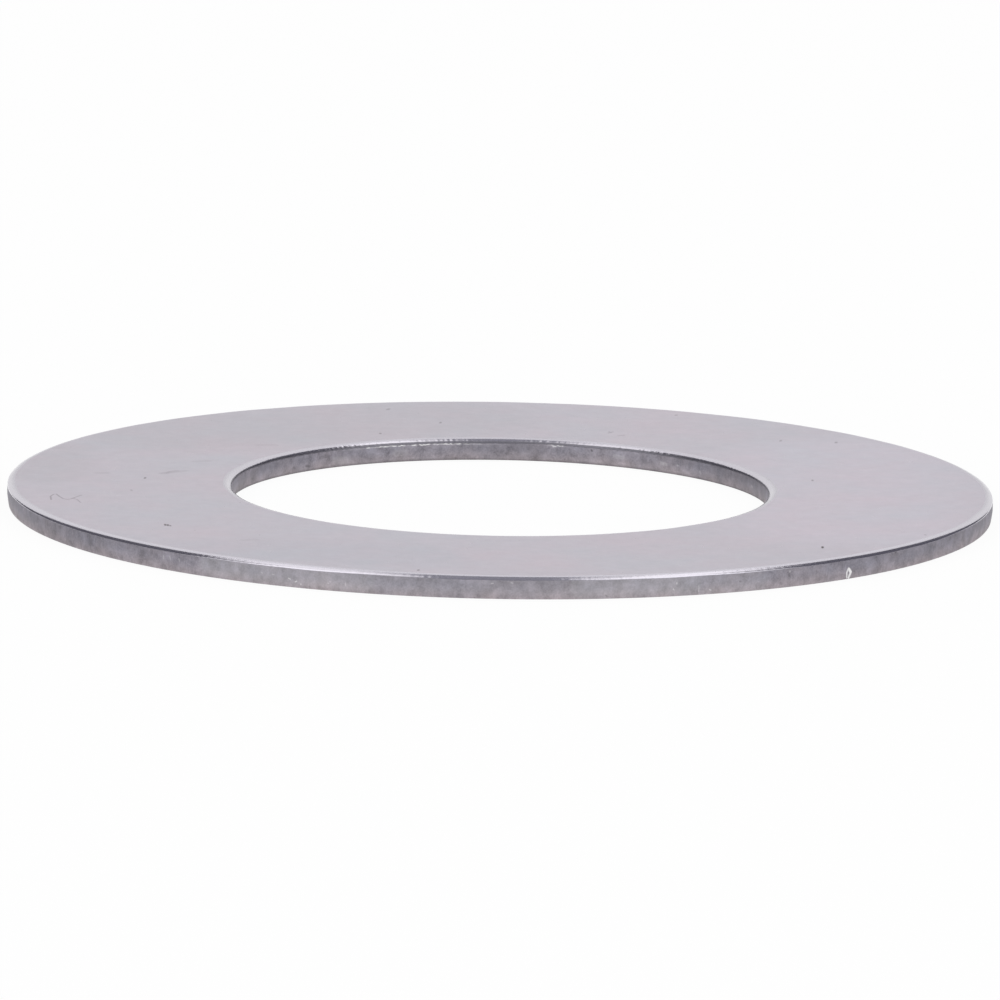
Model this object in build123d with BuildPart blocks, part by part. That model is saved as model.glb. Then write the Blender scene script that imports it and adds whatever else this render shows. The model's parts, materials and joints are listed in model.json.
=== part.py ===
from build123d import *

import math
import os

# Shim ring: a flat ring blanked in one stroke from cold-rolled steel strip, in millimetres.
# +Z is the ring's axis, and the origin is the centre of the face that it lies on.
#
# One compound die cuts the rim and the bore together, from the same side of the strip, so both
# cut edges have the same zones from the top down: a die roll, where the strip was drawn over
# before it sheared, a burnished land at the die's own size, a fracture zone that leans away
# from the land by the die clearance, and a bottom corner with its burr tumbled off.

# Ring
outer_diameter = 44.0
bore_diameter = 24.0
thickness = 1.0

# Cut edge of the rim
rim_roll_width = 0.34
rim_roll_depth = 0.17
rim_roll_corner = 0.10
rim_land = 0.34
rim_die_clearance = 0.06

# Cut edge of the bore, which draws the strip in a little deeper than the rim does
bore_roll_width = 0.38
bore_roll_depth = 0.20
bore_roll_corner = 0.12
bore_land = 0.34
bore_die_clearance = 0.05

# Bottom corners of both edges
edge_break = 0.03

# Nick in the rim, where a harder edge has struck it: a scoop that starts in a point and is
# widest and deepest where it runs out through the bottom corner
nick_angle = -46.0
nick_width = 0.30
nick_height = 0.52
nick_depth = 0.03

rim_radius = outer_diameter / 2
bore_radius = bore_diameter / 2
rim_land_bottom = thickness - rim_roll_depth - rim_land
bore_land_bottom = thickness - bore_roll_depth - bore_land


def die_roll(land_radius, side, width, depth, corner):
    """Draw the roll from the flat top face over and down to the land, and return its two arcs.

    A wide arc leaves the face and a tight one, of radius corner, runs into the land. Each is
    tangent to what it meets, which gives the wide arc's radius and how far it turns. side is 1
    on the rim, whose land faces outwards, and -1 on the bore.
    """
    wide_radius = (width**2 + depth**2 - 2 * width * corner) / (2 * (depth - corner))
    wide_turn = math.degrees(math.asin((width - corner) / (wide_radius - corner)))
    start = (land_radius - side * width, thickness)
    wide = JernArc(start, (side, 0), wide_radius, -side * wide_turn)
    tight = JernArc(wide @ 1, wide % 1, corner, -side * (90 - wide_turn))
    return wide, tight


with BuildPart() as shim_ring:
    # The section is drawn once, to the right of the axis, and turned about it
    with BuildSketch(Plane.XZ) as section:
        with BuildLine():
            rim_wide, rim_tight = die_roll(
                rim_radius, 1, rim_roll_width, rim_roll_depth, rim_roll_corner
            )
            bore_wide, bore_tight = die_roll(
                bore_radius, -1, bore_roll_width, bore_roll_depth, bore_roll_corner
            )
            Line(bore_wide @ 0, rim_wide @ 0)
            Polyline(
                rim_tight @ 1,
                (rim_radius, rim_land_bottom),
                (rim_radius - rim_die_clearance, 0),
                (bore_radius + bore_die_clearance, 0),
                (bore_radius, bore_land_bottom),
                bore_tight @ 1,
            )
        make_face()
        fillet(section.vertices().group_by(Axis.Y)[0], edge_break)
    revolve(axis=Axis.Z)

    # The scoop is cut by a round bar that leans in over the fracture zone towards the bottom.
    # The bar's radius gives the nick's width at its full depth.
    nick_radius = (nick_width**2 / 4 + nick_depth**2) / (2 * nick_depth)
    nick_lean = math.atan2(rim_die_clearance + nick_depth, nick_height)
    outward = Vector(1, 0, 0).rotate(Axis.Z, nick_angle)
    bar_plane = Plane(
        origin=outward * (rim_radius + nick_radius) + Vector(0, 0, nick_height),
        x_dir=outward.rotate(Axis.Z, 90),
        z_dir=outward * math.sin(nick_lean) + Vector(0, 0, math.cos(nick_lean)),
    )
    with BuildSketch(bar_plane):
        Circle(nick_radius)
    extrude(amount=thickness, both=True, mode=Mode.SUBTRACT)

shim_ring.part.label = "shim_ring"

os.makedirs("parts", exist_ok=True)
export_step(shim_ring.part, "parts/shim_ring.step")
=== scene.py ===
import json
import logging
import math
from collections.abc import Mapping, Sequence
from dataclasses import dataclass, field, fields, replace
from enum import Enum

import bpy
import numpy as np
from mathutils import Matrix, Vector


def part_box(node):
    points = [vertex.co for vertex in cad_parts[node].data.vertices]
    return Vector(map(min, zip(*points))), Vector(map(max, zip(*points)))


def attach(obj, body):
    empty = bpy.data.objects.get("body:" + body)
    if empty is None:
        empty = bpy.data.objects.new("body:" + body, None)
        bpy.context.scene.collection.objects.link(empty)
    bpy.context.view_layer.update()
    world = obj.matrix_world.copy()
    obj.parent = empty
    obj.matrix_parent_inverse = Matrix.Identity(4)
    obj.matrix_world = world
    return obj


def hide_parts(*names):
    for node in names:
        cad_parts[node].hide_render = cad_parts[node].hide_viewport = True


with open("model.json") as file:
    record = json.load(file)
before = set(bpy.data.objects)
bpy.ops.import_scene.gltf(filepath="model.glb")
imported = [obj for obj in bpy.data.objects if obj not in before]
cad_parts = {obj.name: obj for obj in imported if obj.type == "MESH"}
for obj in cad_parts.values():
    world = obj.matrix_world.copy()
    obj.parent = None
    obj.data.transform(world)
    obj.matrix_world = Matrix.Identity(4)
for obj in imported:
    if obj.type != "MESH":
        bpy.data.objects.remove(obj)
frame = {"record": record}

# A shim ring blanked from steel strip. The ring lies on the floor with its axis on Z. Its cut
# edges are drawn over at the top, where the die rolled the strip, and sheared and torn below.

LOG = logging.getLogger("shim_ring")

MM = 0.001

Array = np.ndarray
Colour = tuple[float, float, float]
Socket = bpy.types.NodeSocket
Value = float | tuple[float, ...] | Socket

WHITE: Colour = (1.0, 1.0, 1.0)
MASKS = ("roll", "fresh", "shade")
TINY = 1e-6


class Side(Enum):
    """Which of the ring's two cut edges: its value is the sign of the way out of the steel."""

    RIM = 1
    BORE = -1


class Relief(Enum):
    """The noises of a cut edge: the seed's offset, the wavelength in millimetres, its spread."""

    WAVE = (0, 6.0, 0.5)
    RAGGED = (1, 0.45, 0.6)
    LIP = (2, 0.7, 0.7)
    BORDER = (3, 0.8, 0.6)
    STREAK = (4, 0.28, 0.5)
    TEAR = (5, 0.5, 0.6)


class Sweep(Enum):
    """The two ways of bending a card round the ring."""

    ROUND = "round"
    OVER = "over"


class Finish(Enum):
    """The material slots of the ring's mesh, in order."""

    STRIP = 0
    ROLLED = 1
    SHEARED = 2


# ---------------------------------------------------------------- relief


@dataclass(frozen=True)
class TurnNoise:
    """Smooth random values round a full turn, the same at 0 and 360 degrees.

    White noise is filtered by its number of waves per turn, with a bell on a logarithmic scale,
    and brought to a mean of 0 and a deviation of 1.
    """

    seed: int
    wave_mm: float
    radius_mm: float
    spread: float
    samples: int = 8192

    def layers(self, count: int, turn: Array) -> Array:
        """Draw layers of noise and read them at the given angles.

        Args:
            count: how many independent layers.
            turn: angles in radians, from 0 up to a full turn.

        Returns:
            An array of count rows, one value for each angle.
        """
        rng = np.random.default_rng(self.seed)
        white = np.fft.rfft(rng.standard_normal((count, self.samples)), axis=1)
        waves = np.arange(white.shape[1], dtype=float)
        waves[0] = 1.0
        middle = 2 * math.pi * self.radius_mm / self.wave_mm
        bell = np.exp(-((np.log(waves / middle) / self.spread) ** 2) / 2)
        bell[0] = 0.0
        smooth = np.fft.irfft(white * bell, n=self.samples, axis=1)
        smooth /= smooth.std(axis=1, keepdims=True)
        place = turn / (2 * math.pi) * self.samples
        low = np.floor(place).astype(int) % self.samples
        part = place - np.floor(place)
        return smooth[:, low] * (1 - part) + smooth[:, (low + 1) % self.samples] * part


@dataclass(frozen=True)
class Swell:
    """A bell-shaped rise at one angle, for what differs from one side of the ring to another."""

    angle_deg: float
    width_deg: float
    height: float

    def at(self, turn: Array) -> Array:
        """Give height * exp(-(angle from the middle / width)^2 / 2) at each angle."""
        away = (np.degrees(turn) - self.angle_deg + 180) % 360 - 180
        return self.height * np.exp(-((away / self.width_deg) ** 2) / 2)


def total(swells: Sequence[Swell], turn: Array, base: float = 0.0) -> Array:
    """Add all the swells to a base value at each angle."""
    return sum((swell.at(turn) for swell in swells), np.full_like(turn, base))


@dataclass
class Rows:
    """Rows of a section, from the top face down: one value per row and angle.

    A point lies at inset and height, and (out, up) is its normal. The masks go to the finishes:
    roll is how far down the roll a point is; the next mask is how brightly a point is painted, as
    a painted highlight on the upper roll and as bare steel with a painted highlight on the bore's
    lip;
    and shade is how much painted shade it gets, on the lower roll and in the bottom corner.
    """

    inset: Array
    height: Array
    out: Array
    up: Array
    roll: Array
    fresh: Array
    shade: Array

    @staticmethod
    def stack(parts: Sequence["Rows"]) -> "Rows":
        """Put rows below one another."""
        return Rows(*(
            np.vstack([getattr(part, each.name) for part in parts]) for each in fields(Rows)
        ))


@dataclass
class CutEdge:
    """One cut edge of the blank: die roll, burnished land, fracture zone and bottom corner.

    Sizes are in millimetres. An inset is measured from the land into the steel. Three levels,
    from 0 to 1, set the masks: the painted highlight on the upper part of the roll, the painted
    shade on its lower part, and the painted shade in the bottom corner.
    """

    side: Side
    land_radius: float
    thickness: float
    roll_width: float
    roll_depth: float
    roll_corner: float
    land_bottom: float
    die_clearance: float
    edge_break: float = 0.03
    margin: float = 0.05
    seed: int = 1

    # relief, and the levels of the masks
    roll_wave: float = 0.03
    roll_ragged: float = 0.015
    ridge_height: float = 0.0
    ridge_width: float = 0.045
    land_ragged: float = 0.04
    support: float = 0.012
    streak_relief: float = 0.0004
    tear_relief: float = 0.0016
    polish: float = 0.0
    smear: float = 0.0
    corner_shade: float = 0.0
    roll_shade_swells: tuple[Swell, ...] = ()
    ridge_swells: tuple[Swell, ...] = ()

    # the painted highlight covers the first share of the roll and fades towards the sides of the
    # ring
    sheen_share: float = 0.3
    sheen_slope: float = 2.5
    sheen_start: float = 0.3
    # the painted shade on the roll sets in where share * slope passes start
    roll_shade_slope: float = 5.0
    roll_shade_start: float = 1.9
    # the lip's height varies round its mean, and the tears begin a little above the land's end
    lip_mean: float = 0.85
    lip_swing: float = 0.5
    tear_lead: float = 0.25

    # rows of the mesh
    roll_rows: int = 8
    ridge_rows: int = 3
    land_rows: int = 3
    tear_rows: int = 4
    corner_rows: int = 3

    def rows(self, turn: Array) -> Rows:
        """Work out the whole edge, from the top face's margin to the bottom face's.

        Args:
            turn: angles in radians.

        Returns:
            The rows, with the relief already laid along each row's own normal.
        """
        parts = [self._roll(turn)]
        if self.ridge_height:
            parts.append(self._ridge(turn))
        parts += [self._wall(turn), self._corner(turn)]
        rows = Rows.stack(parts)
        self._roughen(rows, turn)
        return rows

    def radius(self, rows: Rows) -> Array:
        """Give the rows' distance from the axis: land radius - side * inset."""
        return self.land_radius - self.side.value * rows.inset

    def _noise(self, relief: Relief, turn: Array, count: int = 1) -> Array:
        """Draw layers of one of the edge's noises."""
        offset, wave_mm, spread = relief.value
        return TurnNoise(self.seed + offset, wave_mm, self.land_radius, spread).layers(count, turn)

    def _scales(self, turn: Array) -> tuple[Array, Array]:
        """Give the roll's size at its top and at its ragged bottom, as shares of its mean size."""
        top = 1 + self.roll_wave * self._noise(Relief.WAVE, turn)[0]
        return top, top + self.roll_ragged * self._noise(Relief.RAGGED, turn)[0]

    def _roll(self, turn: Array) -> Rows:
        """Turn from the flat face down to the land along two tangent arcs.

        The wide arc starts at inset = width and turns by the angle that makes it meet the tight
        one, whose radius is the corner's. At angle a from the vertical the normal is
        (sin a, cos a). The whole roll is scaled about the sharp corner that the strip would have.
        """
        width, depth, corner = self.roll_width, self.roll_depth, self.roll_corner
        wide = (width**2 + depth**2 - 2 * width * corner) / (2 * (depth - corner))
        meet = math.asin((width - corner) / (wide - corner))
        half = self.roll_rows // 2
        angle = np.concatenate([
            [0.0], np.linspace(0, meet, half + 1), np.linspace(meet, math.pi / 2, half)[1:]
        ])
        inset = np.where(
            angle <= meet, width - wide * np.sin(angle), corner - corner * np.sin(angle)
        )
        drop = np.where(
            angle <= meet, wide * (1 - np.cos(angle)), depth - corner * np.cos(angle)
        )
        share = (angle / (math.pi / 2))[:, None]
        smear = total(self.roll_shade_swells, turn, self.smear)
        top, bottom = self._scales(turn)
        scale = top * (1 - share) + bottom * share
        inset = inset[:, None] * scale
        inset[0] += self.margin
        flat = np.ones_like(turn)[None, :]
        # painted highlight: the upper part of the roll is painted brighter, fading towards the
        # ring's sides
        ends = np.clip(np.abs(np.sin(turn)) * self.sheen_slope - self.sheen_start, 0, 1)
        painted_sheen = self.polish * np.sin(math.pi * np.clip(share / self.sheen_share, 0, 1))
        # painted shade: the lower part of the roll is painted darker
        smeared = np.clip(share * self.roll_shade_slope - self.roll_shade_start, 0, 1)
        return Rows(
            inset=inset,
            height=self.thickness - drop[:, None] * scale,
            out=np.sin(angle)[:, None] * flat,
            up=np.cos(angle)[:, None] * flat,
            roll=share * flat,
            fresh=painted_sheen * ends,
            shade=np.clip(smear, 0, 1) * smeared,
        )

    def _land_top(self, turn: Array) -> Array:
        """Give the height at which the roll ends, which is ragged."""
        return self.thickness - self.roll_depth * self._scales(turn)[1]

    def _ridge(self, turn: Array) -> Rows:
        """Raise a thin torn lip at the top of the land: half a sine wave across its width."""
        share = np.linspace(0, 1, self.ridge_rows + 2)[1:-1, None]
        lip = self._noise(Relief.LIP, turn)[0]
        size = np.clip(total(self.ridge_swells, turn), 0, 1)
        size = size * np.clip(self.lip_mean + self.lip_swing * lip, 0, None)
        across = self.ridge_height * np.sin(math.pi * share) * size
        slope = self.ridge_height * math.pi / self.ridge_width * np.cos(math.pi * share) * size
        length = np.sqrt(1 + slope**2)
        return Rows(
            inset=-across,
            height=self._land_top(turn) - share * self.ridge_width,
            out=1 / length,
            up=slope / length,
            roll=np.ones_like(across),
            # the lip's middle is painted bright: bare steel, and a painted highlight
            fresh=np.clip(size, 0, 1) * np.sin(math.pi * share) ** 2,
            shade=np.zeros_like(across),
        )

    def _wall(self, turn: Array) -> Rows:
        """Run straight down the land, then lean away from it by the die clearance."""
        border = self.land_bottom + self.land_ragged * self._noise(Relief.BORDER, turn)[0]
        start = self._land_top(turn)
        first = start - (self.ridge_width if self.ridge_height else self.support)
        land = np.linspace(0, 1, self.land_rows)[:, None]
        tear = np.linspace(0, 1, self.tear_rows + 1)[1:-1, None]
        lean = self.die_clearance * np.vstack([land * 0, tear])
        height = np.vstack([
            first + (border - first) * land, border + (self.edge_break - border) * tear
        ])
        flat = np.ones_like(height)
        return Rows(lean * flat, height, flat, 0 * flat, 0 * flat, 0 * flat, 0 * flat)

    def _corner(self, turn: Array) -> Rows:
        """Round the bottom corner with a quarter circle and go a margin along the bottom face."""
        angle = np.linspace(0, math.pi / 2, self.corner_rows)[:, None]
        small = self.edge_break
        inset = self.die_clearance + small * (1 - np.cos(angle))
        height = small * (1 - np.sin(angle))
        inset = np.vstack([inset, inset[-1:] + self.margin])
        height = np.vstack([height, height[-1:] * 0])
        out = np.vstack([np.cos(angle), [[0.0]]])
        up = -np.vstack([np.sin(angle), [[1.0]]])
        flat = np.ones_like(turn)[None, :]
        none = 0 * inset * flat
        # painted shade: the bottom corner is painted darker
        shade = none + self.corner_shade
        return Rows(inset * flat, height * flat, out * flat, up * flat, none, none, shade)

    def _roughen(self, rows: Rows, turn: Array) -> None:
        """Push the rows along their normals: fine upright streaks, and tears further down."""
        streak = self._noise(Relief.STREAK, turn)
        knots = self._noise(Relief.TEAR, turn, len(rows.height))
        tears = (knots + np.roll(knots, 1, axis=0)) / math.sqrt(2)
        rolled = (rows.roll > 0) & (rows.roll < 1)
        wall = np.where(rolled, 0.0, np.clip(rows.out, 0, 1) ** 2)
        depth = (self.land_bottom - rows.height) / self.land_bottom
        below = np.clip(depth + self.tear_lead, 0, 1)
        push = wall * (self.streak_relief * streak + self.tear_relief * below * tears)
        rows.inset -= push * rows.out
        rows.height = rows.height + push * rows.up


@dataclass(frozen=True)
class Scoop:
    """The nick in the rim: a scoop that deepens downwards as it follows a leaning round bar.

    Only rows that face outwards by more than facing are cut.
    """

    angle_deg: float = -46.0
    width: float = 0.30
    height: float = 0.52
    depth: float = 0.03
    facing: float = 0.05

    def cut(self, rows: Rows, turn: Array, edge: CutEdge) -> None:
        """Push the rim's rows in to the bar's surface where that lies inside them.

        The bar's surface lies (clearance + depth) * (1 - height / nick height) inside the land,
        less across^2 / (2 * bar radius), where across is the way along the rim.
        """
        bar = self.width**2 / (8 * self.depth)
        across = (turn - math.radians(self.angle_deg) + math.pi) % (2 * math.pi) - math.pi
        across = across * edge.land_radius
        deep = (edge.die_clearance + self.depth) * (1 - rows.height / self.height)
        deep = deep - across**2 / (2 * bar)
        inside = (rows.out > self.facing) & (deep > rows.inset)
        rows.inset += np.where(inside, deep - rows.inset, 0.0)


# ---------------------------------------------------------------- shader wiring


class Wiring:
    """Adds nodes to one tree and joins them."""

    def __init__(self, tree: bpy.types.NodeTree) -> None:
        """Take the tree that the nodes go to."""
        self.tree = tree

    def add(
        self, kind: str, inputs: Mapping[int | str, Value] | None = None, **settings: object
    ) -> bpy.types.Node:
        """Add one node.

        Args:
            kind: the node's type name.
            inputs: a number, a tuple or another node's output for each input to set.
            settings: the node's own properties.

        Returns:
            The new node.
        """
        node = self.tree.nodes.new(kind)
        for name, setting in settings.items():
            setattr(node, name, setting)
        for key, value in (inputs or {}).items():
            if isinstance(value, Socket):
                self.tree.links.new(value, node.inputs[key])
            else:
                node.inputs[key].default_value = value
        return node

    def math(self, operation: str, *values: Value, clamp: bool = False) -> Socket:
        """Work out one number from others."""
        node = self.add(
            "ShaderNodeMath", dict(enumerate(values)), operation=operation, use_clamp=clamp
        )
        return node.outputs[0]

    def vector(self, operation: str, *values: Value, scale: Value | None = None) -> bpy.types.Node:
        """Work on vectors and give the node, whose outputs are Vector and Value."""
        inputs: dict[int | str, Value] = dict(enumerate(values))
        if scale is not None:
            inputs["Scale"] = scale
        return self.add("ShaderNodeVectorMath", inputs, operation=operation)

    def span(
        self, value: Value, low: Value, high: Value, start: Value = 0.0, end: Value = 1.0
    ) -> Socket:
        """Go smoothly from start to end as value goes from low to high."""
        node = self.add(
            "ShaderNodeMapRange",
            {"Value": value, "From Min": low, "From Max": high, "To Min": start, "To Max": end},
            interpolation_type="SMOOTHSTEP",
        )
        return node.outputs["Result"]

    def blend(self, factor: Value, first: Value, second: Value) -> Socket:
        """Mix two numbers."""
        node = self.add("ShaderNodeMix", {0: factor, 2: first, 3: second}, data_type="FLOAT")
        return node.outputs[0]

    def mix(self, factor: Value, first: Value, second: Value, blend: str = "MIX") -> Socket:
        """Mix two colours."""
        node = self.add(
            "ShaderNodeMix", {0: factor, 6: first, 7: second}, data_type="RGBA", blend_type=blend
        )
        return node.outputs[2]

    def group(self, tree: bpy.types.NodeTree, inputs: Mapping[str, Value]) -> bpy.types.Node:
        """Place a node group with its own values."""
        return self.add("ShaderNodeGroup", inputs, node_tree=tree)

    def attribute(self, name: str) -> Socket:
        """Read one of the mesh's masks."""
        return self.add("ShaderNodeAttribute", attribute_name=name).outputs["Fac"]

    def swing(self, tone: Socket, depth: float, middle: Value) -> Socket:
        """Vary round a middle value by depth as the tone goes from 0 to 1."""
        return self.math("MULTIPLY_ADD", self.math("SUBTRACT", tone, 0.5), depth, middle)

    def toned(self, colour: Socket, grey: Socket) -> Socket:
        """Multiply a colour by a grey."""
        level = self.add("ShaderNodeCombineColor", {0: grey, 1: grey, 2: grey}).outputs[0]
        return self.mix(1.0, colour, level, "MULTIPLY")

    def bump(self, height: Socket, distance: float) -> Socket:
        """Give the normal of a relief that is distance metres high."""
        inputs: dict[int | str, Value] = {"Strength": 1.0, "Distance": distance, "Height": height}
        return self.add("ShaderNodeBump", inputs).outputs[0]

    def put(self, target: bpy.types.Node, **sockets: Socket) -> None:
        """Join outputs to a node's inputs, which are named with _ for each space."""
        for name, socket in sockets.items():
            self.tree.links.new(socket, target.inputs[name.replace("_", " ")])


def opaque(colour: Colour) -> tuple[float, float, float, float]:
    """Add a full alpha to a colour."""
    return (*colour, 1.0)


@dataclass
class GroupPlan:
    """The sockets of a shader node group, by name."""

    name: str
    inputs: dict[str, str]
    outputs: dict[str, str]
    tree: bpy.types.NodeTree = field(init=False)

    def open(self) -> tuple[Wiring, bpy.types.Node, bpy.types.Node]:
        """Make the group with its sockets.

        Returns:
            What wires it, its input node and its output node.
        """
        self.tree = bpy.data.node_groups.new(self.name, "ShaderNodeTree")
        for name, kind in self.inputs.items():
            self.tree.interface.new_socket(name, in_out="INPUT", socket_type=kind)
        for name, kind in self.outputs.items():
            self.tree.interface.new_socket(name, in_out="OUTPUT", socket_type=kind)
        wiring = Wiring(self.tree)
        return wiring, wiring.add("NodeGroupInput"), wiring.add("NodeGroupOutput")


NUMBER, VECTOR, COLOUR = "NodeSocketFloat", "NodeSocketVector", "NodeSocketColor"


@dataclass
class Effects:
    """The shader node groups that the ring's finishes share. Places are in millimetres.

    A spot or a line is full up to its core, a share of its half width, and fades from there. A
    spot's own size is the given radius times smallest to smallest + size_range.
    """

    noise_detail: float = 3.0
    noise_roughness: float = 0.6
    patch_contrast: float = 2.6
    smallest: float = 0.5
    size_range: float = 0.8
    spot_core: float = 0.35
    line_core: float = 0.4
    grain: bpy.types.NodeTree = field(init=False)
    patches: bpy.types.NodeTree = field(init=False)
    pits: bpy.types.NodeTree = field(init=False)
    line: bpy.types.NodeTree = field(init=False)

    def build(self) -> None:
        """Make every group."""
        self.grain = self._grain()
        self.patches = self._patches()
        self.pits = self._pits()
        self.line = self._line()

    def tone(
        self, w: Wiring, place: Socket, size: float, contrast: float, stretch: float = 1.0
    ) -> Socket:
        """Place one grain and give its tone."""
        return w.group(
            self.grain,
            {"Place": place, "Size": size, "Stretch": stretch, "Contrast": contrast},
        ).outputs["Tone"]

    def tint(
        self, w: Wiring, place: Socket, size: float, cool: Colour, warm: Colour
    ) -> Socket:
        """Place patches that drift between two colours."""
        return w.group(
            self.patches,
            {"Place": place, "Size": size, "Stretch": 1.0,
             "Cool": opaque(cool), "Warm": opaque(warm)},
        ).outputs["Colour"]

    def stroke(
        self, w: Wiring, place: Socket, start: tuple[float, float], end: tuple[float, float],
        width: float,
    ) -> Socket:
        """Place one soft line and give its mask."""
        return w.group(
            self.line,
            {"Place": place, "Start": (*start, 0.0), "End": (*end, 0.0), "Width": width},
        ).outputs["Mask"]

    def join(self, w: Wiring, place: Socket, marks: Sequence["Mark"]) -> Value:
        """Join marks into one mask, the strongest counting at each point."""
        joined: Value = 0.0
        for mark in marks:
            for start, end in zip(mark.points[:-1], mark.points[1:]):
                line = self.stroke(w, place, start, end, mark.width)
                joined = w.math("MAXIMUM", w.math("MULTIPLY", line, mark.strength), joined)
        return joined

    def _grain(self) -> bpy.types.NodeTree:
        """Noise of a given size, drawn out along Z by Stretch, from 0 to 1."""
        plan = GroupPlan(
            "Grain",
            {"Place": VECTOR, "Size": NUMBER, "Stretch": NUMBER, "Contrast": NUMBER},
            {"Tone": NUMBER},
        )
        w, given, out = plan.open()
        drawn = w.add(
            "ShaderNodeCombineXYZ",
            {0: 1.0, 1: 1.0, 2: w.math("DIVIDE", 1.0, given.outputs["Stretch"])},
        )
        place = w.vector("MULTIPLY", given.outputs["Place"], drawn.outputs[0]).outputs[0]
        noise = w.add(
            "ShaderNodeTexNoise",
            {
                "Vector": place,
                "Scale": w.math("DIVIDE", 1.0, given.outputs["Size"]),
                "Detail": self.noise_detail,
                "Roughness": self.noise_roughness,
            },
        )
        centred = w.math("SUBTRACT", noise.outputs[0], 0.5)
        tone = w.math("MULTIPLY_ADD", centred, given.outputs["Contrast"], 0.5, clamp=True)
        w.tree.links.new(tone, out.inputs["Tone"])
        return plan.tree

    def _patches(self) -> bpy.types.NodeTree:
        """Drift a colour between a cool and a warm tint in soft patches."""
        plan = GroupPlan(
            "Patches",
            {"Place": VECTOR, "Size": NUMBER, "Stretch": NUMBER, "Cool": COLOUR, "Warm": COLOUR},
            {"Colour": COLOUR},
        )
        w, given, out = plan.open()
        tone = w.group(
            self.grain,
            {
                "Place": given.outputs["Place"],
                "Size": given.outputs["Size"],
                "Stretch": given.outputs["Stretch"],
                "Contrast": self.patch_contrast,
            },
        ).outputs["Tone"]
        colour = w.mix(tone, given.outputs["Cool"], given.outputs["Warm"])
        w.tree.links.new(colour, out.inputs["Colour"])
        return plan.tree

    def _pits(self) -> bpy.types.NodeTree:
        """Scatter round spots: a cell shows one if its random number is under Share."""
        plan = GroupPlan(
            "Spots",
            {"Place": VECTOR, "Spacing": NUMBER, "Radius": NUMBER, "Share": NUMBER},
            {"Mask": NUMBER},
        )
        w, given, out = plan.open()
        cells = w.add(
            "ShaderNodeTexVoronoi",
            {
                "Vector": given.outputs["Place"],
                "Scale": w.math("DIVIDE", 1.0, given.outputs["Spacing"]),
            },
        )
        random = w.add("ShaderNodeSeparateColor", {0: cells.outputs["Color"]})
        away = w.math("MULTIPLY", cells.outputs["Distance"], given.outputs["Spacing"])
        size = w.math(
            "MULTIPLY", given.outputs["Radius"],
            w.math("MULTIPLY_ADD", random.outputs[1], self.size_range, self.smallest),
        )
        spot = w.span(away, w.math("MULTIPLY", size, self.spot_core), size, 1.0, 0.0)
        shown = w.math("LESS_THAN", random.outputs[0], given.outputs["Share"])
        w.tree.links.new(w.math("MULTIPLY", spot, shown), out.inputs["Mask"])
        return plan.tree

    def _line(self) -> bpy.types.NodeTree:
        """Draw a soft line from Start to End, Width across, with round ends."""
        plan = GroupPlan(
            "Line",
            {"Place": VECTOR, "Start": VECTOR, "End": VECTOR, "Width": NUMBER},
            {"Mask": NUMBER},
        )
        w, given, out = plan.open()
        along = w.vector("SUBTRACT", given.outputs["End"], given.outputs["Start"]).outputs[0]
        here = w.vector("SUBTRACT", given.outputs["Place"], given.outputs["Start"]).outputs[0]
        part = w.math(
            "DIVIDE",
            w.vector("DOT_PRODUCT", here, along).outputs["Value"],
            w.math("MAXIMUM", w.vector("DOT_PRODUCT", along, along).outputs["Value"], TINY),
            clamp=True,
        )
        scaled = w.vector("SCALE", along, scale=part).outputs[0]
        away = w.vector("SUBTRACT", here, scaled).outputs[0]
        gap = w.vector("LENGTH", away).outputs["Value"]
        half = w.math("MULTIPLY", given.outputs["Width"], 0.5)
        mask = w.span(gap, w.math("MULTIPLY", half, self.line_core), half, 1.0, 0.0)
        w.tree.links.new(mask, out.inputs["Mask"])
        return plan.tree


# ---------------------------------------------------------------- finishes


@dataclass(frozen=True)
class Mark:
    """A mark: a soft line through points.

    On the top face, points are in millimetres from the axis. On a cut edge they are an angle in
    degrees and a height in millimetres. A sunk mark dents the surface too.
    """

    points: tuple[tuple[float, float], ...]
    width: float
    strength: float
    sunk: bool = False

    def unrolled(self, radius: float) -> "Mark":
        """Turn the angles of a mark on a cut edge into millimetres along it."""
        points = tuple((math.radians(turn) * radius, z) for turn, z in self.points)
        return replace(self, points=points)


@dataclass(frozen=True)
class PaintedLight:
    """A broad soft patch on the top face, along a line in millimetres from the axis, that
    multiplies
    its colour by a factor: painted light where the factor is over 1, painted shade where under 1.
    """

    start: tuple[float, float]
    end: tuple[float, float]
    width: float
    factor: Colour


# Painted light and shade on the top face: the right side painted lighter, patches at the back,
# left and front painted darker
FACE_PAINTED_LIGHT: tuple[PaintedLight, ...] = (
    PaintedLight((15.5, 8.0), (15.5, -8.0), 15.0, (1.070, 1.060, 1.070)),
    PaintedLight((-15.0, 12.0), (-3.0, 17.0), 13.0, (0.935, 0.945, 0.940)),
    PaintedLight((-20.5, 7.0), (-20.5, 1.0), 6.0, (0.950, 0.940, 0.935)),
    PaintedLight((-12.0, -16.5), (-4.0, -17.5), 7.0, (0.945, 0.970, 0.975)),
)

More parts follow.
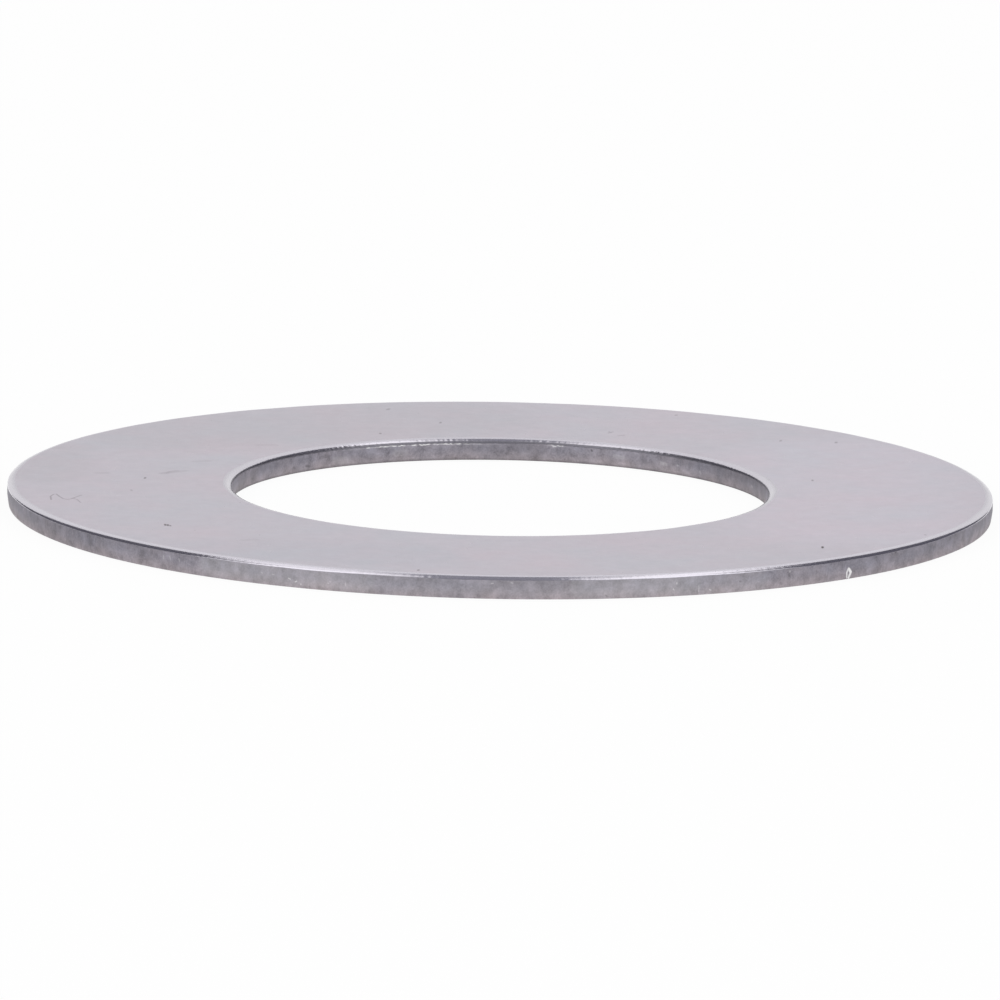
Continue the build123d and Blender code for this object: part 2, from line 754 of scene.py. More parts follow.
FACE_MARKS: tuple[Mark, ...] = (
    # a curled hair scratch near the rim
    Mark(((-19.87, -5.43), (-19.93, -4.61), (-19.81, -4.06), (-19.69, -4.0), (-19.54, -4.57),
          (-19.36, -5.09), (-19.16, -5.32), (-18.99, -5.13), (-18.82, -4.7), (-18.57, -4.18)),
         0.11, 0.36),
    Mark(((-18.95, -4.9), (-18.72, -5.3), (-18.55, -6.0)), 0.10, 0.30),
    # a short dent
    Mark(((-14.68, -10.92), (-14.65, -11.22)), 0.15, 0.75, True),
    Mark(((-14.56, -10.98), (-14.54, -11.32)), 0.14, 0.70, True),
    Mark(((-14.45, -11.12), (-14.43, -11.38)), 0.12, 0.50, True),
    # pits
    Mark(((-15.89, 0.24), (-15.87, 0.50)), 0.15, 0.55, True),
    Mark(((-16.42, -2.60), (-16.36, -2.92)), 0.14, 0.22),
    Mark(((14.12, -13.90), (14.13, -13.56)), 0.15, 0.95, True),
    Mark(((14.00, 2.60), (14.00, 2.85)), 0.14, 0.42, True),
    Mark(((-3.48, -20.95), (-3.46, -20.7)), 0.15, 0.45, True),
    Mark(((-2.80, 15.8), (-2.77, 16.1)), 0.16, 0.35),
    Mark(((-5.50, 12.7), (-5.51, 12.95)), 0.16, 0.38),
    Mark(((-5.25, 19.1), (-5.18, 19.4)), 0.24, 0.25),
    Mark(((4.90, 14.0), (5.10, 14.3)), 0.18, 0.30),
    Mark(((5.35, 13.3), (5.60, 13.5)), 0.18, 0.24),
    Mark(((12.72, 12.6), (12.76, 12.9)), 0.16, 0.28),
    Mark(((15.25, 12.4), (15.28, 12.7)), 0.18, 0.34),
    Mark(((8.02, 18.9), (8.06, 19.1)), 0.20, 0.24),
    Mark(((-14.95, 1.75), (-14.80, 2.10)), 0.24, 0.26),
    Mark(((18.70, -10.2), (18.72, -10.4)), 0.16, 0.24),
    # faint smudges
    Mark(((-15.09, 1.63), (-14.50, 2.25)), 0.60, 0.16),
    Mark(((-14.43, 2.10), (-14.12, 2.39)), 0.50, 0.10),
    Mark(((-18.04, 1.44), (-17.68, 1.48)), 0.60, 0.09),
    Mark(((-13.73, 4.76), (-13.19, 4.95)), 0.60, 0.09),
    Mark(((-10.90, 9.26), (-10.35, 9.37)), 0.70, 0.08),
    Mark(((-11.12, -14.40), (-10.68, -14.24)), 0.60, 0.08),
)

# Painted highlights and painted light on the rim's wall
RIM_PAINTED_HIGHLIGHTS: tuple[Mark, ...] = (
    # the flanks of the nick, painted bright: painted highlights
    Mark(((-46.22, 0.48), (-46.40, 0.31), (-46.30, 0.08)), 0.13, 0.90),
    Mark(((-46.10, 0.45), (-45.76, 0.30)), 0.18, 1.0),
    Mark(((-45.74, 0.30), (-45.98, 0.06)), 0.16, 0.92),
    # bright specks: painted highlights
    Mark(((-69.50, 0.56), (-69.50, 0.60)), 0.09, 0.55),
    Mark(((-66.80, 0.42), (-66.75, 0.15)), 0.05, 0.45),
    Mark(((-69.90, 0.34), (-69.80, 0.28)), 0.08, 0.50),
    Mark(((-65.45, 0.21), (-65.25, 0.18)), 0.08, 0.45),
    Mark(((-54.95, 0.72), (-54.95, 0.68)), 0.08, 0.50),
    Mark(((-114.4, 0.40), (-114.2, 0.36)), 0.08, 0.55),
    Mark(((-113.6, 0.26), (-113.4, 0.30)), 0.08, 0.60),
    Mark(((-112.9, 0.20), (-112.9, 0.16)), 0.07, 0.60),
    Mark(((-117.8, 0.52), (-117.7, 0.50)), 0.08, 0.40),
    Mark(((-116.5, 0.50), (-116.2, 0.49)), 0.07, 0.35),
    Mark(((-109.6, 0.34), (-109.5, 0.33)), 0.07, 0.42),
    Mark(((-109.4, 0.43), (-109.3, 0.41)), 0.06, 0.36),
    Mark(((-107.5, 0.41), (-107.5, 0.27)), 0.06, 0.36),
    Mark(((-90.80, 0.70), (-90.6, 0.70)), 0.07, 0.45),
    Mark(((-88.60, 0.74), (-88.4, 0.72)), 0.07, 0.35),
    Mark(((-131.6, 0.64), (-131.5, 0.48)), 0.06, 0.30),
    Mark(((-130.6, 0.66), (-130.5, 0.52)), 0.06, 0.32),
    Mark(((-129.2, 0.62), (-129.1, 0.50)), 0.06, 0.28),
    # lighter stretches: painted light
    Mark(((-125.0, 0.55), (-105.0, 0.55)), 1.30, 0.135),
    Mark(((-104.0, 0.62), (-82.0, 0.62)), 1.30, 0.075),
    Mark(((-81.0, 0.55), (-67.5, 0.55)), 1.30, 0.155),
    Mark(((-66.5, 0.45), (-59.0, 0.45)), 1.30, 0.075),
)
# Dark specks on the rim's wall, and painted shade
RIM_SPOTS_AND_SHADE: tuple[Mark, ...] = (
    Mark(((-61.65, 0.48), (-61.55, 0.47)), 0.12, 0.50),
    Mark(((-55.05, 0.52), (-55.05, 0.50)), 0.10, 0.45),
    Mark(((-77.80, 0.16), (-77.70, 0.12)), 0.10, 0.40),
    # a darker stretch: painted shade
    Mark(((-158.0, 0.40), (-141.0, 0.40)), 1.30, 0.09),
)
# Painted highlights on the bore's wall: soft light smudges and bright specks
BORE_PAINTED_HIGHLIGHTS: tuple[Mark, ...] = (
    Mark(((128.6, 0.34), (125.6, 0.30)), 0.52, 0.09),
    Mark(((113.2, 0.42), (111.4, 0.44)), 0.50, 0.08),
    Mark(((64.4, 0.50), (62.4, 0.47)), 0.28, 0.13),
    Mark(((52.6, 0.44), (51.4, 0.42)), 0.24, 0.15),
    Mark(((48.2, 0.46), (48.0, 0.45)), 0.12, 0.22),
    Mark(((41.4, 0.36), (41.1, 0.28)), 0.13, 0.18),
    Mark(((19.8, 0.45), (19.4, 0.41)), 0.14, 0.22),
    Mark(((78.6, 0.72), (78.0, 0.73)), 0.07, 0.70),
    Mark(((76.6, 0.76), (76.4, 0.76)), 0.07, 0.60),
)
# Dark specks on the bore's wall, and painted shade
BORE_SPOTS_AND_SHADE: tuple[Mark, ...] = (
    Mark(((69.9, 0.67), (69.8, 0.64)), 0.12, 0.65),
    Mark(((137.0, 0.26), (136.0, 0.22)), 0.16, 0.40),
    Mark(((141.0, 0.30), (140.6, 0.24)), 0.14, 0.35),
    Mark(((133.0, 0.55), (131.0, 0.58)), 0.22, 0.22),
    # darker stretches: painted shade
    Mark(((98.0, 0.40), (82.0, 0.40)), 1.20, 0.13),
    Mark(((38.0, 0.45), (12.0, 0.45)), 1.30, 0.12),
)


@dataclass(frozen=True)
class StripFinish:
    """Cold-rolled strip: satin with a fine grain, soft tinted patches, small pits and marks, and
    broad patches of painted light and shade.
    """

    cool: Colour = (0.580, 0.562, 0.640)
    warm: Colour = (0.626, 0.550, 0.630)
    stain: Colour = (0.12, 0.10, 0.10)
    roughness: float = 0.30
    roughness_swing: float = 0.06
    marked_roughness: float = 0.25
    patch_size: float = 5.0
    grain_size: float = 0.30
    grain_contrast: float = 2.0
    grain_depth: float = 0.022
    cloud_size: float = 0.9
    cloud_contrast: float = 1.8
    cloud_depth: float = 0.085
    relief: float = 0.00000045
    pit_spacing: float = 1.5
    pit_radius: float = 0.07
    pit_share: float = 0.35
    pit_strength: float = 0.45
    pit_depth: float = 1.6
    top_over: float = 0.5

    def build(self, effects: Effects) -> bpy.types.Material:
        """Wire the material.

        Args:
            effects: the shared node groups.

        Returns:
            The material for both faces.
        """
        material, w, shader = new_metal("strip_steel")
        place = place_in_mm(w)
        flat = w.vector("MULTIPLY", place, (1.0, 1.0, 0.0)).outputs[0]
        fine = effects.tone(w, place, self.grain_size, self.grain_contrast)
        broad = effects.tone(w, place, self.cloud_size, self.cloud_contrast)
        grey = w.swing(broad, self.cloud_depth, w.swing(fine, self.grain_depth, 1.0))
        colour = w.toned(effects.tint(w, place, self.patch_size, self.cool, self.warm), grey)
        # broad painted light and shade
        for painted_light in FACE_PAINTED_LIGHT:
            mask = effects.stroke(w, flat, painted_light.start, painted_light.end, painted_light.width)
            colour = w.mix(mask, colour, opaque(painted_light.factor), "MULTIPLY")
        pits = w.group(
            effects.pits,
            {"Place": place, "Spacing": self.pit_spacing, "Radius": self.pit_radius,
             "Share": self.pit_share},
        ).outputs["Mask"]
        top = w.math(
            "GREATER_THAN", w.add("ShaderNodeSeparateXYZ", {0: place}).outputs[2], self.top_over
        )
        drawn = w.math("MULTIPLY", effects.join(w, flat, FACE_MARKS), top)
        marks = w.math("MAXIMUM", w.math("MULTIPLY", pits, self.pit_strength), drawn)
        sunk = effects.join(w, flat, [mark for mark in FACE_MARKS if mark.sunk])
        dents = w.math("MAXIMUM", pits, w.math("MULTIPLY", sunk, top))
        rough = w.swing(fine, self.roughness_swing, self.roughness)
        w.put(
            shader,
            Base_Color=w.mix(marks, colour, opaque(self.stain)),
            Roughness=w.math("MULTIPLY_ADD", marks, self.marked_roughness, rough, clamp=True),
            Normal=w.bump(w.math("MULTIPLY_ADD", dents, -self.pit_depth, fine), self.relief),
        )
        return material


@dataclass(frozen=True)
class RolledFinish:
    """The rolls, where the strip was drawn over: smooth in the middle.

    The roll attribute goes from 0 at the flat face to 1 at the land, and the finish starts like
    the strip's and ends like the sheared steel's. A second mask paints a highlight on the upper
    part of the roll, and the shade attribute paints shade by darkening its lower part.
    """

    start: Colour = (0.61, 0.582, 0.65)
    middle: Colour = (0.72, 0.69, 0.76)
    end: Colour = (0.33, 0.315, 0.36)
    # the colour of the painted shade on the lower part of the roll
    smeared: Colour = (0.24, 0.23, 0.265)
    # painted highlight along the upper part of the roll
    painted_sheen: Colour = (0.76, 0.73, 0.81)
    start_roughness: float = 0.28
    middle_roughness: float = 0.15
    end_roughness: float = 0.42
    shaded_roughness: float = 0.44
    start_share: float = 0.30
    end_share: float = 0.80
    streak_size: float = 0.12
    streak_stretch: float = 2.0
    streak_contrast: float = 2.0
    streak_depth: float = 0.10

    def build(self, effects: Effects) -> bpy.types.Material:
        """Wire the material.

        Args:
            effects: the shared node groups.

        Returns:
            The material for the rolls of both edges.
        """
        material, w, shader = new_metal("rolled_steel")
        place = place_in_mm(w)
        roll, fresh, shade = (w.attribute(name) for name in MASKS)
        opening = w.span(roll, 0.0, self.start_share)
        closing = w.span(roll, self.end_share, 1.0)
        streak = effects.tone(
            w, place, self.streak_size, self.streak_contrast, self.streak_stretch
        )
        colour = w.mix(opening, opaque(self.start), opaque(self.middle))
        # painted highlight on the upper part of the roll
        colour = w.mix(fresh, colour, opaque(self.painted_sheen))
        colour = w.mix(closing, colour, opaque(self.end))
        colour = w.toned(colour, w.swing(streak, self.streak_depth, 1.0))
        rough = w.blend(opening, self.start_roughness, self.middle_roughness)
        rough = w.blend(closing, rough, self.end_roughness)
        w.put(
            shader,
            # painted shade darkens the lower part of the roll
            Base_Color=w.mix(shade, colour, opaque(self.smeared)),
            Roughness=w.blend(shade, rough, self.shaded_roughness),
        )
        return material


@dataclass(frozen=True)
class ShearedFinish:
    """Sheared steel: darker and rougher, mottled, faintly streaked upright, with painted
    highlights (glints), painted shade in darker stretches and the bottom corner, and painted light
    from the floor that makes it lighter and warmer towards the bottom.

    The rim's marks lie further than parting from the axis, and the bore's nearer.
    """

    cool: Colour = (0.306, 0.294, 0.342)
    warm: Colour = (0.328, 0.303, 0.340)
    # bright bare steel on the lip, and the colour of painted highlights
    fresh: Colour = (0.86, 0.85, 0.86)
    # the colour of dark specks and of painted shade
    spot: Colour = (0.10, 0.095, 0.10)
    edge_tint: Colour = (0.82, 0.82, 0.82)
    # painted light from the floor: the wall is painted lighter and warmer towards the bottom
    floor_light_factor: Colour = (1.16, 1.10, 1.04)
    floor_light_top: float = 0.6
    roughness: float = 0.50
    roughness_swing: float = 0.16
    bare_and_sheen_roughness: float = 0.25
    contrast: float = 2.2
    patch_size: float = 1.4
    mottle_size: float = 0.55
    mottle_depth: float = 0.68
    streak_size: float = 0.14
    streak_stretch: float = 4.0
    streak_depth: float = 0.12
    speckle_size: float = 0.07
    speckle_depth: float = 0.34
    relief: float = 0.000003
    speckle_relief: float = 0.6
    parting: float = 17.0

    def build(self, effects: Effects) -> bpy.types.Material:
        """Wire the material.

        Args:
            effects: the shared node groups.

        Returns:
            The material for the walls and bottom corners.
        """
        material, w, shader = new_metal("sheared_steel")
        place = place_in_mm(w)
        fresh, shade = w.attribute("fresh"), w.attribute("shade")
        streak = effects.tone(w, place, self.streak_size, self.contrast, self.streak_stretch)
        speckle = effects.tone(w, place, self.speckle_size, self.contrast)
        mottle = effects.tone(w, place, self.mottle_size, self.contrast)
        grey = w.swing(speckle, self.speckle_depth, w.swing(streak, self.streak_depth, 1.0))
        grey = w.swing(mottle, self.mottle_depth, grey)
        colour = w.toned(effects.tint(w, place, self.patch_size, self.cool, self.warm), grey)
        # painted light from the floor: lighter and warmer towards the bottom
        low = w.add("ShaderNodeSeparateXYZ", {0: place}).outputs[2]
        colour = w.mix(
            w.span(low, self.floor_light_top, 0.0), colour, opaque(self.floor_light_factor), "MULTIPLY"
        )
        # painted shade in darker stretches and the bottom corner, with the dark specks
        spots_and_shade = w.math("MAXIMUM", shade, self._marks(w, place, effects, RIM_SPOTS_AND_SHADE, BORE_SPOTS_AND_SHADE))
        # painted highlights on both cut edges
        painted_highlights = self._marks(w, place, effects, RIM_PAINTED_HIGHLIGHTS, BORE_PAINTED_HIGHLIGHTS)
        colour = w.mix(spots_and_shade, colour, opaque(self.spot))
        # painted highlights, and the lip's bare steel
        colour = w.mix(w.math("MAXIMUM", painted_highlights, fresh), colour, opaque(self.fresh))
        rough = w.swing(mottle, self.roughness_swing, self.roughness)
        height = w.math("ADD", streak, w.math("MULTIPLY", speckle, self.speckle_relief))
        w.put(
            shader, Base_Color=colour, Roughness=w.blend(fresh, rough, self.bare_and_sheen_roughness),
            Normal=w.bump(height, self.relief),
        )
        shader.inputs["Specular Tint"].default_value = opaque(self.edge_tint)
        return material

    def _marks(
        self, w: Wiring, place: Socket, effects: Effects, rim: Sequence[Mark],
        bore: Sequence[Mark],
    ) -> Socket:
        """Join marks on both cut edges into one mask, on each edge unrolled round the axis."""
        axes = w.add("ShaderNodeSeparateXYZ", {0: place}).outputs
        angle = w.math("ARCTAN2", axes[1], axes[0])
        across = w.add("ShaderNodeCombineXYZ", {0: axes[0], 1: axes[1]}).outputs[0]
        outer = w.math(
            "GREATER_THAN", w.vector("LENGTH", across).outputs["Value"], self.parting
        )
        inner = w.math("SUBTRACT", 1.0, outer)
        joined: Value = 0.0
        for name, marks, here in (("rim", rim, outer), ("bore", bore, inner)):
            radius = record_mount(name)["dims"]["r_mm"]
            along = w.math("MULTIPLY", angle, radius)
            edge = w.add("ShaderNodeCombineXYZ", {0: along, 1: axes[2]}).outputs[0]
            side = effects.join(w, edge, [mark.unrolled(radius) for mark in marks])
            joined = w.math("MULTIPLY_ADD", side, here, joined)
        return joined


def blank_material(name: str) -> tuple[bpy.types.Material, Wiring]:
    """Start a material with no nodes, and what wires it."""
    material = bpy.data.materials.new(name)
    material.use_nodes = True
    material.node_tree.nodes.clear()
    return material, Wiring(material.node_tree)


def new_metal(name: str) -> tuple[bpy.types.Material, Wiring, bpy.types.Node]:
    """Start a metal.

    Args:
        name: the material's name.

    Returns:
        The material, what wires it and its shader.
    """
    material, w = blank_material(name)
    shader = w.add("ShaderNodeBsdfPrincipled", {"Metallic": 1.0})
    w.add("ShaderNodeOutputMaterial", {"Surface": shader.outputs[0]})
    return material, w, shader


def place_in_mm(w: Wiring) -> Socket:
    """Give the place on the object in millimetres."""
    coordinates = w.add("ShaderNodeTexCoord").outputs["Object"]
    return w.vector("SCALE", coordinates, scale=1 / MM).outputs[0]


def add_object(name: str, data: bpy.types.ID) -> bpy.types.Object:
    """Put an object with this data into the scene, at the origin."""
    thing = bpy.data.objects.new(name, data)
    bpy.context.scene.collection.objects.link(thing)
    return thing


# ---------------------------------------------------------------- the ring


@dataclass
class ShimRing:
    """The whole ring as one closed surface: a section carried round the axis.

    Across the nick, up to scoop_reach to each side, the angles lie closer together, and the even
    ones keep scoop_margin times that away.
    """

    rim: CutEdge
    bore: CutEdge
    scoop: Scoop = Scoop()
    segments: int = 2144
    scoop_segments: int = 32
    scoop_reach: float = 0.28
    scoop_margin: float = 1.05

    def angles(self) -> Array:
        """Space the angles evenly, and closer together across the nick."""
        even = np.arange(self.segments) * (2 * math.pi / self.segments)
        middle = math.radians(self.scoop.angle_deg) % (2 * math.pi)
        reach = self.scoop_reach / self.rim.land_radius
        extra = middle + np.linspace(-reach, reach, self.scoop_segments)
        even = even[np.abs(even - middle) > reach * self.scoop_margin]
        return np.sort(np.concatenate([even, extra]))

    def build(self) -> bpy.types.Object:
        """Make the mesh.

        The section's rows run down the rim and up the bore, and close over the two faces. A
        point lies at (radius * cos angle, radius * sin angle, height).

        Returns:
            The ring's object, which sits at the origin.
        """
        turn = self.angles()
        rim, bore = self.rim.rows(turn), self.bore.rows(turn)
        self.scoop.cut(rim, turn, self.rim)
        radius = np.vstack([self.rim.radius(rim), self.bore.radius(bore)[::-1]])
        height = np.vstack([rim.height, bore.height[::-1]])
        place = np.stack([radius * np.cos(turn), radius * np.sin(turn), height], axis=-1) * MM
        mesh = closed_grid("shim_ring_visual", place)
        for name in MASKS:
            values = np.vstack([getattr(rim, name), getattr(bore, name)[::-1]])
            attribute = mesh.attributes.new(name, "FLOAT", "POINT")
            attribute.data.foreach_set("value", values.astype(np.float32).ravel())
        strips = self._strips(len(rim.height), len(bore.height))
        mesh.polygons.foreach_set("material_index", np.repeat(strips, len(turn)))
        mesh.update()
        return add_object("shim_ring_visual", mesh)

    def _strips(self, rim_rows: int, bore_rows: int) -> Array:
        """Give the finish of each strip of faces, which lies between a row and the next."""
        strips = np.full(rim_rows + bore_rows, Finish.STRIP.value, dtype=np.int32)
        rolled, last = self.rim.roll_rows, rim_rows - 1
        strips[1:rolled] = Finish.ROLLED.value
        strips[rolled:last - 1] = Finish.SHEARED.value
        rolled, last = self.bore.roll_rows, rim_rows + bore_rows - 1
        strips[rim_rows + 1:last - rolled] = Finish.SHEARED.value
        strips[last - rolled:last - 1] = Finish.ROLLED.value
        return strips

    def dress(self, piece: bpy.types.Object, effects: Effects) -> None:
        """Give the ring its finishes, in the order of Finish."""
        finishes = {
            Finish.STRIP: StripFinish(), Finish.ROLLED: RolledFinish(),
            Finish.SHEARED: ShearedFinish(),
        }
        for slot in Finish:
            piece.data.materials.append(finishes[slot].build(effects))


def closed_grid(name: str, place: Array) -> bpy.types.Mesh:
    """Join a grid of points that closes both ways into quads that face outwards.

    Args:
        name: the mesh's name.
        place: the points, as rows by angles by 3, in metres.

    Returns:
        The mesh, shaded smooth.
    """
    rows, turns = place.shape[:2]
    row, col = np.meshgrid(np.arange(rows), np.arange(turns), indexing="ij")
    below, beside = (row + 1) % rows, (col + 1) % turns
    corners = np.stack([
        row * turns + col, below * turns + col, below * turns + beside, row * turns + beside
    ], axis=-1).reshape(-1, 4)
    mesh = bpy.data.meshes.new(name)
    mesh.vertices.add(rows * turns)
    mesh.vertices.foreach_set("co", place.astype(np.float32).ravel())
    mesh.loops.add(corners.size)
    mesh.loops.foreach_set("vertex_index", corners.astype(np.int32).ravel())
    mesh.polygons.add(len(corners))
    mesh.polygons.foreach_set("loop_start", np.arange(0, corners.size, 4, dtype=np.int32))
    mesh.polygons.foreach_set("use_smooth", np.ones(len(corners), bool))
    mesh.update(calc_edges=True)
    mesh.validate()
    return mesh


# ---------------------------------------------------------------- the studio


@dataclass(frozen=True)
class Card:
    """A curved card that the steel mirrors and the camera never sees."""

    name: str
    side: tuple[float, float]
    rise: tuple[float, float]
    radiance: float
    sweep: Sweep = Sweep.ROUND
    narrowing: float = 1.0
    distance: float = 0.5
    tint: Colour = WHITE
    columns: int = 24
    rows: int = 16

    def build(self) -> bpy.types.Object:
        """Bend a grid over part of a sphere by two angles, both counted from -Y.

        A ROUND card turns by side towards +X and then rises. An OVER card rises from the front
        over the top to the back, and leans by side towards +X; it narrows on its way.
        """
        e = np.radians(np.linspace(*self.rise, self.rows))[:, None]
        a = np.radians(np.linspace(*self.side, self.columns))[None, :]
        a = a * np.linspace(1, self.narrowing, self.rows)[:, None]
        if self.sweep is Sweep.ROUND:
            place = np.stack([
                np.sin(a) * np.cos(e), -np.cos(a) * np.cos(e), np.sin(e) * np.ones_like(a)
            ], axis=-1)
        else:
            place = np.stack([
                np.sin(a), -np.cos(a) * np.cos(e), np.cos(a) * np.sin(e)
            ], axis=-1)
        place = place * self.distance
        row, col = np.meshgrid(
            np.arange(self.rows - 1), np.arange(self.columns - 1), indexing="ij"
        )
        first = row * self.columns + col
        above = first + self.columns
        faces = np.stack([first, first + 1, above + 1, above], axis=-1)
        mesh = bpy.data.meshes.new(self.name)
        mesh.from_pydata(place.reshape(-1, 3).tolist(), [], faces.reshape(-1, 4).tolist())
        card = add_object(self.name, mesh)
        card.data.materials.append(self._paint())
        card.visible_camera = False
        card.visible_diffuse = False
        card.visible_shadow = False
        return card

    def _paint(self) -> bpy.types.Material:
        """Give the card one plain level of light."""
        material, w = blank_material(self.name)
        glow = w.add(
            "ShaderNodeEmission", {"Color": opaque(self.tint), "Strength": self.radiance}
        )
        w.add("ShaderNodeOutputMaterial", {"Surface": glow.outputs[0]})
        return material


@dataclass(frozen=True)
class SoftBox:
    """A soft lamp that looks at the ring."""

    name: str
    azimuth: float
    elevation: float
    width: float
    height: float
    radiance: float
    tint: Colour = WHITE
    distance: float = 0.55

    def build(self) -> bpy.types.Object:
        """Hang the lamp and turn it to the ring."""
        data = bpy.data.lights.new(self.name, "AREA")
        data.shape = "RECTANGLE"
        data.size, data.size_y = self.width, self.height
        data.energy = self.radiance * math.pi * self.width * self.height
        data.color = self.tint
        lamp = add_object(self.name, data)
        a, e = math.radians(self.azimuth), math.radians(self.elevation)
        way = Vector((math.sin(a) * math.cos(e), -math.cos(a) * math.cos(e), math.sin(e)))
        lamp.location = way * self.distance
        lamp.rotation_mode = "QUATERNION"
        lamp.rotation_quaternion = way.to_track_quat("Z", "Y")
        lamp.visible_camera = False
        return lamp


@dataclass
class Studio:
    """A plain white floor, a pale grey surround, soft lamps and cards that shape the gloss.

    floor_shade is the share of the floor's light that it gets from the lamps, and so how much
    of a shadow it shows.
    """

    floor_radius: float = 3.0
    floor_gap: float = 0.00002
    floor_shade: float = 0.07
    floor_corners: int = 96
    surround: Colour = (0.8, 0.8, 0.8)
    boxes: tuple[SoftBox, ...] = (
        SoftBox("left_softbox", -47.5, 32.0, 0.26, 0.78, 0.50),
        SoftBox("right_softbox", 46.5, 32.0, 0.26, 0.78, 0.49, (0.97, 0.985, 1.0)),
    )
    cards: tuple[Card, ...] = (
        Card("left_card", (-152.0, -74.0), (0.0, 54.0), 0.125, tint=(0.97, 0.96, 1.10)),
        Card("right_card", (72.0, 154.0), (0.0, 54.0), 0.125, tint=(0.96, 0.95, 1.12)),
        Card("front_card", (-20.0, 20.0), (0.0, 128.0), 0.28, Sweep.OVER, 0.24,
             tint=(0.97, 0.98, 1.08)),
        Card("left_glow", (-35.0, -16.0), (70.0, 132.0), 1.05, Sweep.OVER, 0.5, 0.52),
        Card("right_glow", (16.0, 34.0), (70.0, 132.0), 1.22, Sweep.OVER, 0.5, 0.52),
    )

    def build(self) -> None:
        """Set the floor, the surround, the lamps and the cards."""
        self._floor()
        self._surround()
        for box in self.boxes:
            box.build()
        for card in self.cards:
            card.build()

    def _white(self, w: Wiring) -> Socket:
        """Give 1 to rays that look at, mirror or pass through to the white, and 0 to others."""
        path = w.add("ShaderNodeLightPath")
        seen = w.math("MAXIMUM", path.outputs["Is Camera Ray"], path.outputs["Is Glossy Ray"])
        return w.math("MAXIMUM", seen, path.outputs["Is Transmission Ray"])

    def _floor(self) -> None:
        """Lay a round white floor: one face with its corners on a circle, clear from below."""
        turns = self.floor_corners
        turn = np.arange(turns) * (2 * math.pi / turns)
        place = np.stack([
            np.cos(turn) * self.floor_radius, np.sin(turn) * self.floor_radius,
            np.full(turns, -self.floor_gap),
        ], axis=-1)
        mesh = bpy.data.meshes.new("floor")
        mesh.from_pydata(place.tolist(), [], [list(range(turns))])
        floor = add_object("floor", mesh)
        material, w = blank_material("white_floor")
        matt = w.add("ShaderNodeBsdfDiffuse", {"Color": opaque(WHITE)})
        glow = w.add("ShaderNodeEmission", {"Strength": self._white(w)})
        both = w.add(
            "ShaderNodeMixShader",
            {0: 1 - self.floor_shade, 1: matt.outputs[0], 2: glow.outputs[0]},
        )
        clear = w.add("ShaderNodeBsdfTransparent")
        under = w.add("ShaderNodeNewGeometry").outputs["Backfacing"]
        shown = w.add("ShaderNodeMixShader", {0: under, 1: both.outputs[0], 2: clear.outputs[0]})
        w.add("ShaderNodeOutputMaterial", {"Surface": shown.outputs[0]})
        floor.data.materials.append(material)

    def _surround(self) -> None:
        """Make the world one plain pale grey in every direction."""
        world = bpy.data.worlds.new("surround")
        bpy.context.scene.world = world
        world.use_nodes = True
        world.node_tree.nodes.clear()
        w = Wiring(world.node_tree)
        back = w.add(
            "ShaderNodeBackground", {"Color": opaque(self.surround), "Strength": 1.0}
        )
        w.add("ShaderNodeOutputWorld", {"Surface": back.outputs[0]})


@dataclass(frozen=True)
class ViewCamera:
    """The camera: low, far off and long, rolled by a degree."""

    elevation: float = 10.352
    distance: float = 0.6178
    aim_height: float = 0.00035
    roll: float = 1.003
    lens: float = 497.8
    sensor: float = 36.0
    near: float = 0.01
    far: float = 20.0

    def build(self) -> bpy.types.Object:
        """Place the camera in front of the ring and turn it to its aim."""
        data = bpy.data.cameras.new("camera")
        data.sensor_width = self.sensor
        data.lens = self.lens
        data.clip_start, data.clip_end = self.near, self.far
        camera = add_object("camera", data)
        e, roll = math.radians(self.elevation), math.radians(self.roll)
        place = Vector((0.0, -math.cos(e), math.sin(e))) * self.distance
        forward = (Vector((0.0, 0.0, self.aim_height)) - place).normalized()
        level = forward.cross(Vector((0.0, 0.0, 1.0))).normalized()
        upright = level.cross(forward)
        right = level * math.cos(roll) + upright * math.sin(roll)
        up = upright * math.cos(roll) - level * math.sin(roll)
        turned = Matrix((right, up, -forward)).transposed().to_4x4()
        camera.matrix_world = Matrix.Translation(place) @ turned
        bpy.context.scene.camera = camera
        return camera


# ---------------------------------------------------------------- making


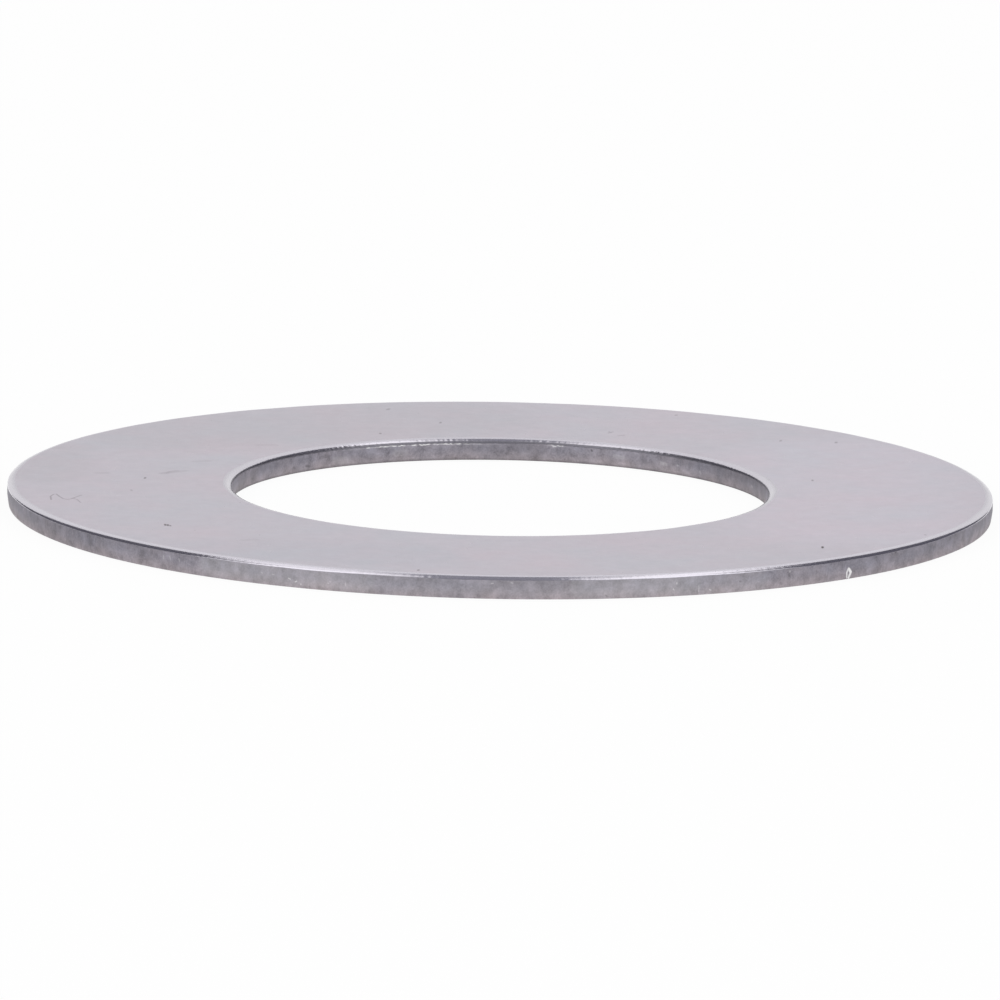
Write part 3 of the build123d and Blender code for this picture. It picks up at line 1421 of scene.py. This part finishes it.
def record_mount(name: str) -> dict:
    """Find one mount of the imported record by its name."""
    return next(m for m in frame["record"]["mounts"] if m["name"] == name)


def land_of(name: str) -> tuple[float, float, float]:
    """Read a land from its mount: its radius and the heights of its bottom and top, in mm."""
    mount = record_mount(name)
    middle = mount["pos_m"][2] / MM
    half = mount["dims"]["length_mm"] / 2
    return mount["dims"]["r_mm"], middle - half, middle + half


def main() -> None:
    """Build the camera, the studio and the ring."""
    logging.basicConfig(level=logging.INFO, format="%(name)s: %(message)s")
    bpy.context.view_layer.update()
    ViewCamera().build()
    Studio().build()
    effects = Effects()
    effects.build()
    low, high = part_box("shim_ring")
    thickness = (high.z - low.z) / MM
    rim_radius, rim_land_bottom, rim_land_top = land_of("rim")
    bore_radius, bore_land_bottom, bore_land_top = land_of("bore")
    rim = CutEdge(
        side=Side.RIM, land_radius=rim_radius, thickness=thickness, roll_width=0.34,
        roll_depth=thickness - rim_land_top, roll_corner=0.10, land_bottom=rim_land_bottom,
        # the rim's roll gets a painted highlight on its upper part
        die_clearance=0.06, seed=11, polish=1.0,
    )
    bore = CutEdge(
        side=Side.BORE, land_radius=bore_radius, thickness=thickness, roll_width=0.38,
        roll_depth=thickness - bore_land_top, roll_corner=0.12, land_bottom=bore_land_bottom,
        die_clearance=0.05, seed=41, roll_ragged=0.03, ridge_height=0.022,
        # the bore's roll: painted highlight above, painted shade below, and painted shade in the
        # bottom corner
        ridge_width=0.085, polish=0.6, smear=0.75, corner_shade=0.5,
        roll_shade_swells=(Swell(108.0, 11.0, 0.25), Swell(66.0, 14.0, 0.25)),
        ridge_swells=(Swell(108.5, 7.0, 1.6), Swell(78.0, 1.2, 0.6)),
    )
    ring = ShimRing(rim, bore)
    piece = ring.build()
    ring.dress(piece, effects)
    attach(piece, "root")
    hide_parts("shim_ring")
    LOG.info("%s: %d points, %d faces", piece.name, len(piece.data.vertices),
             len(piece.data.polygons))
    bpy.context.scene.view_settings.view_transform = "Standard"


if __name__ == "__main__":
    main()
